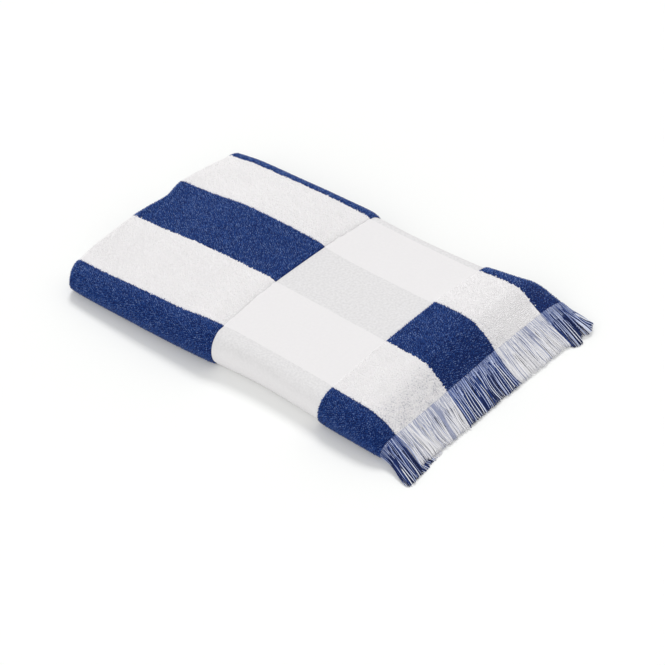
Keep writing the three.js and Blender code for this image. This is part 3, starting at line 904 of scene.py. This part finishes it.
Coat = namedtuple("Coat", "pitch radius depth gather sway beneath reach")
COATS = {  # gather and reach are shares: of the way to the lock's middle, and of a yarn's length
    "roots": Coat(0.80, 0.38, -0.45, 0.0, 0.3, False, 0.30),
    "upper": Coat(1.22, 0.58, 0.0, 0.12, 1.0, False, 1.0),
    "lower": Coat(1.45, 0.66, 0.9, 0.0, 0.35, False, 1.0),
    "beneath": Coat(1.75, 0.60, 0.4, 0.3, 1.0, True, 1.0),
}


def yarn_places(pitch, beneath):
    """Evenly spaced places on the fringed edge, by real length, as places across the cloth."""
    s = np.linspace(0, S_END, EDGE_POINTS)
    line = towel_point(np.zeros_like(s), s, np.zeros_like(s))
    length = np.concatenate([[0], np.cumsum(np.linalg.norm(np.diff(line, axis=0), axis=-1))])
    even = np.interp((np.arange(round(length[-1] / pitch)) + 0.5) * pitch, length, s)
    return even[((even < UPPER_FROM) | (even > UPPER_TO)) == beneath]


# %% Tips: where the ends of the yarns come to lie
TIP_ROWS = [  # across the cloth, then where the tip lies: along, across and up
    (0, 516, 150, 1.0),
    (245, 533, -98, 1.2),
    (284, 537, -130, 1.2),
    (300, 538, -151, 1.4),
    (322, 537, -166, 1.6),
    (345, 539, -158, 2.0),
    (362, 538, -146, 2.5),
    (367, 536, -139, 3.0),
    (372, 531, -132, 3.2),
    (464, 533, -46, 3.0),
    (555, 535, 49, 3.0),
    (643, 540, 142, 3.0),
    (648, 545, 145, 1.6),
    (654, 549, 157, 1.8),
    (657, 541, 166, 3.5),
    (660, 547, 174, 5.0),
    (667, 544, 183, 7.0),
    (676, 541, 189, 8.0),
    (690, 536, 184, 4.0),
    (710, 530, 162, 4.0),
    (981, 515, -140, 4.0),
]


def soft_noise(place, pitch, random):
    """A smooth random wave: random values every pitch, joined by a smooth curve."""
    knots = np.arange(place.min() - pitch, place.max() + 2 * pitch, pitch)
    return through_points(knots, random.uniform(-1, 1, len(knots)), place)


# %% Locks
LOCK_WIDTH = (4.0, 9.0)
LOCK_COUNT = 200  # more than fit across the cloth
LOCK_CLEAR = 1.8  # a lock's bound keeps this far from a stripe's edge
FAR_PARTING = 657.5  # across the cloth, where the fringe parts at the far corner
LOCK_SEED = 5
TANGENT_STEP = 6.0
ROOT_HANDLE, TIP_HANDLE = 0.16, 0.3  # the cubic's two handles, as shares of the yarn's length
LOCK_STRAY = (0.8, 0.9, 0.5)  # how far a lock's tips stray along, across and up
YARN_STRAY = (0.6, 0.5, 0.2)  # and each yarn's tip from its lock's
LOCK_BOW, YARN_BOW = 1.3, 0.30
LOCK_TWIST, YARN_TWIST = 0.8, 0.25
SHORT_ENDS = (0.4, 1.4)  # shares of a short coat's reach
SPLAY = (0.15, 0.6)  # along a yarn, where it starts to move sideways and where it has


def lock_bounds(random):
    """Bounds of the locks, at random distances. No lock reaches over the edge of a stripe."""
    bounds = np.cumsum(random.uniform(*LOCK_WIDTH, LOCK_COUNT))
    edges = np.array(STRIPE_EDGES + [FAR_PARTING])
    free = np.abs(bounds[:, None] - edges).min(axis=1) > LOCK_CLEAR
    return np.sort(np.concatenate([[-1], bounds[free & (bounds < S_END)], edges, [S_END + 1]]))


def yarn_curves(s, sideways, coat, bounds, random):
    """Centre lines of yarns: a cubic from root to tip. The yarns of a lock gather, and its bow, lean
    and height are its own."""
    count = len(s)
    zero = np.zeros(count)
    lock = np.searchsorted(bounds, s)
    middle = (bounds[lock - 1] + bounds[lock]) / 2
    lock_random = np.random.default_rng(LOCK_SEED)
    lean, bow, twist, further, rise = coat.sway * lock_random.normal(0, 1, (5, len(bounds) + 1))[:, lock]
    root = towel_point(zero + YARN_ROOT, s, zero + YARN_OUT - coat.depth)
    ahead = towel_point(zero, s, zero) - towel_point(zero + TANGENT_STEP, s, zero)
    ahead /= np.linalg.norm(ahead, axis=-1, keepdims=True)
    rows = np.array(TIP_ROWS, float)
    gathered = s + (middle - s) * coat.gather
    tip = np.stack([through_points(rows[:, 0], rows[:, i], gathered) for i in (1, 2, 3)], axis=-1)
    for axis, move in enumerate((further, lean, rise)):
        tip[:, axis] += LOCK_STRAY[axis] * move + random.normal(0, YARN_STRAY[axis], count)
    tip[:, 2] = np.maximum(tip[:, 2] - coat.depth, coat.radius)
    straight = tip - root
    length = np.linalg.norm(straight, axis=-1, keepdims=True)
    stop = coat.reach * np.where(coat.reach < 1, random.uniform(*SHORT_ENDS, count), 1.0)
    t = np.linspace(0, stop, YARN_STEPS, axis=1)[:, :, None]
    first = root + (ahead + straight / length) * length * ROOT_HANDLE
    second = tip - straight * TIP_HANDLE
    curve = ((1 - t) ** 3 * root[:, None] + 3 * (1 - t) ** 2 * t * first[:, None]
             + 3 * (1 - t) * t ** 2 * second[:, None] + t ** 3 * tip[:, None])
    t = t[:, :, 0]
    shift = (LOCK_BOW * bow + random.normal(0, YARN_BOW, count))[:, None] * np.sin(math.pi * t)
    shift += (LOCK_TWIST * twist + random.normal(0, YARN_TWIST, count))[:, None] * np.sin(2 * math.pi * t)
    shift += sideways[:, None] * smooth_step(*SPLAY, t)
    curve[:, :, 1] += shift
    curve[:, :, 2] = np.maximum(curve[:, :, 2], coat.radius)
    return curve


# %% Yarn meshes
TAPER_AT = (0, 0.9, 1)
TAPER = (1, 0.95, 0.6)
SPIN_NEXT = 2.4  # radians from one yarn's corners to the next one's
SPIN_ALONG = 2.5  # and from a yarn's root to its tip
SMALLEST = 1e-6  # keeps a division from meeting zero


def yarn_mesh(name, curve, radius, material, tone):
    """Tubes round the curves: a ring of corners at each step, thinner at the tip, both ends closed."""
    count, steps, _ = curve.shape
    ahead = np.gradient(curve, axis=1)
    ahead /= np.linalg.norm(ahead, axis=-1, keepdims=True)
    side = np.cross(ahead, [0.0, 0.0, 1.0])
    side /= np.maximum(np.linalg.norm(side, axis=-1, keepdims=True), SMALLEST)
    upper = np.cross(side, ahead)
    taper = np.interp(np.linspace(0, 1, steps), TAPER_AT, TAPER)[None, :, None, None]
    n = YARN_SIDES
    angle = np.arange(n) * 2 * math.pi / n
    spin = angle[None, None, :] + np.arange(count)[:, None, None] * SPIN_NEXT
    spin = spin + np.linspace(0, SPIN_ALONG, steps)[None, :, None]
    ring = np.cos(spin)[..., None] * side[:, :, None] + np.sin(spin)[..., None] * upper[:, :, None]
    points = curve[:, :, None] + radius[:, None, None, None] * taper * ring
    quad = ring_quads(steps, n)
    wall = np.concatenate([quad[:, [0, 3, 2]], quad[:, [0, 2, 1]]])
    fan = np.arange(1, n - 1)
    root_cap = np.stack([fan * 0, fan + 1, fan], -1)
    tip_cap = np.stack([fan * 0, fan, fan + 1], -1) + (steps - 1) * n
    pattern = np.concatenate([wall, root_cap, tip_cap])[:, ::-1]
    faces = (np.arange(count)[:, None, None] * steps * n + pattern).reshape(-1, 3)
    yarns = mesh_object(name, to_scene(points.reshape(-1, 3)), faces, material)
    set_own_tone(yarns, np.repeat(tone.ravel(), n))
    return yarns


# %% Make the fringe
YARNS = {  # deep, plain and light tone, roughness and sheen
    "navy": (YARN_NAVY_DEEP, YARN_NAVY, YARN_NAVY_LIGHT, 0.85, 0.1),
    "pale": (YARN_PALE_DEEP, YARN_PALE, YARN_PALE_LIGHT, 0.9, 0.08),
    "white": (YARN_LILAC, YARN_WHITE, YARN_WHITE, 0.9, 0.08),
}
FRINGE = {colour: tuft_material(f"yarn_{colour}", *looks) for colour, looks in YARNS.items()}
# white and pale yarns are deep at the root as painted shade, pale ones light at the tip as painted
# highlight; navy ones deepen towards the tip
ROOT_AND_TIP = {  # tone at the root and at the tip, and how much of it is chance
    "navy": (0.55, 0.32, 0.30),
    "pale": (0.38, 0.80, 0.38),
    "white": (0.34, 0.70, 0.40),
}
TONE_CHANGE = (0.1, 0.8)  # along a yarn, where its tone starts to change and where it has
# painted shade: the lower coat lies under the upper one, so its tone is lowered
LOWER_COAT_SHADE = 0.3
NAVY_SHARE = 0.92  # in the lower coat, by chance
SIDE_SHIFT = (0.2, 0.0, -0.2)  # white yarns move aside by turns, in pitches
PALE_RISE = 0.3
PALE_CHANGE = (0.1, 0.5)  # along a pale yarn, where it starts to rise and where it has
GIRTH = (0.88, 1.12)
CLOUD_TONE = 0.24
CLOUD_PITCH = 8.0
NEAR_DEEPER = 0.12
NEAR_FRINGE = (480.0, 420.0)  # across the cloth, where the fringe starts to deepen and where it has
FRINGE_SEED = 21


def make_fringe():
    """One piece for each kind of yarn, from all the coats."""
    random = np.random.default_rng(FRINGE_SEED)
    bounds = lock_bounds(random)
    made = {colour: [] for colour in FRINGE}
    t = np.linspace(0, 1, YARN_STEPS)
    for name, coat in COATS.items():
        s = yarn_places(coat.pitch, coat.beneath)
        count = len(s)
        order = np.arange(count)
        striped = is_navy(s, np.zeros(count))
        by_chance = random.uniform(0, 1, count) < NAVY_SHARE
        by_turns = {"roots": order % 2 == 0, "upper": order % 3 > 0, "beneath": order % 2 == 0}
        navy = striped & by_turns.get(name, by_chance)
        pale = striped & ~navy
        sideways = coat.pitch * np.where(striped, 0, np.array(SIDE_SHIFT)[order % 3])
        curve = yarn_curves(s, sideways, coat, bounds, random)
        curve[:, :, 2] += (PALE_RISE * pale)[:, None] * smooth_step(*PALE_CHANGE, t * coat.reach)
        size = coat.radius * random.uniform(*GIRTH, count)
        cloud = CLOUD_TONE * soft_noise(s, CLOUD_PITCH, random) - NEAR_DEEPER * smooth_step(*NEAR_FRINGE, s)
        change = smooth_step(*TONE_CHANGE, t * coat.reach)
        # painted shade on the lower coat
        coat_shade = LOWER_COAT_SHADE * (name == "lower")
        for colour, chosen in (("navy", navy), ("pale", pale), ("white", ~striped)):
            root, tip, chance = ROOT_AND_TIP[colour]
            own = cloud[chosen] + random.uniform(-chance, chance, chosen.sum())
            tone = root + (tip - root) * change + own[:, None] - coat_shade
            made[colour].append((curve[chosen], size[chosen], np.clip(tone, 0, 1)))
    things = []
    for colour, parts in made.items():
        curve, size, tone = (np.concatenate(part) for part in zip(*parts))
        things.append(yarn_mesh(f"fringe_{colour}", curve, size, FRINGE[colour], tone))
    return things


fringe = make_fringe()
print("yarn faces", {f.name: len(f.data.polygons) for f in fringe})

# %% [markdown]
# ## Floor and light
#
# A pale floor under a white sky gives soft light from all round, but hardly any shadow. A lamp high
# behind the towel adds the contact shadow on the near side, and a wide, weak one on the camera's side
# lifts the shaded faces. The floor glows faintly, as a light table does, so that it comes out white
# without throwing too much light back at the cloth. The view transform is the plain one, so that white
# cloth comes out as white as it is.

# %% Floor
FLOOR_SIZE = 12.0  # metres
FLOOR_PAPER = (0.805, 0.81, 0.80, 1.0)
FLOOR_GLOW = 0.122
PURE_WHITE = (1.0, 1.0, 1.0, 1.0)

reach = FLOOR_SIZE / 2
corners = [(-reach, -reach, 0), (reach, -reach, 0), (reach, reach, 0), (-reach, reach, 0)]
floor_mesh = bpy.data.meshes.new("floor")
floor_mesh.from_pydata(corners, [], [(0, 1, 2, 3)])
floor = bpy.data.objects.new("floor", floor_mesh)
bpy.context.scene.collection.objects.link(floor)
floor_nodes = Nodes("floor_paper")
floor_nodes.cotton(FLOOR_PAPER, roughness=0.9, sheen=0.0)
floor_nodes.shader.inputs["Emission Color"].default_value = PURE_WHITE
floor_nodes.shader.inputs["Emission Strength"].default_value = FLOOR_GLOW
floor_mesh.materials.append(floor_nodes.material)

# %% Light
SKY = 0.60
SUNS = {  # where it stands, seen from the towel; its strength; how wide it looks, in degrees
    "back_lamp": ((-0.36, 0.45, 0.817), 1.37, 20.0),
    "front_fill": ((0.25, -0.797, 0.55), 0.82, 60.0),
}

world = bpy.data.worlds.new("sky")
world.use_nodes = True
background = world.node_tree.nodes["Background"]
background.inputs["Color"].default_value = PURE_WHITE
background.inputs["Strength"].default_value = SKY
bpy.context.scene.world = world
bpy.context.scene.view_settings.view_transform = "Standard"

for name, (place, strength, width) in SUNS.items():
    lamp_data = bpy.data.lights.new(name, "SUN")
    lamp_data.energy = strength
    lamp_data.angle = math.radians(width)
    lamp = bpy.data.objects.new(name, lamp_data)
    lamp.location = place
    lamp.rotation_euler = (math.acos(place[2]), 0.0, math.atan2(place[1], place[0]) + math.pi / 2)
    bpy.context.scene.collection.objects.link(lamp)
print("lamps", list(SUNS))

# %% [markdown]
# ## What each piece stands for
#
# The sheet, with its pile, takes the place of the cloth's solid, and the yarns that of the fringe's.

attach(cloth, "root")
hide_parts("cloth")
for piece in pile:
    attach(piece, "root")
for piece in fringe:
    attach(piece, "root")
    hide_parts("fringe")
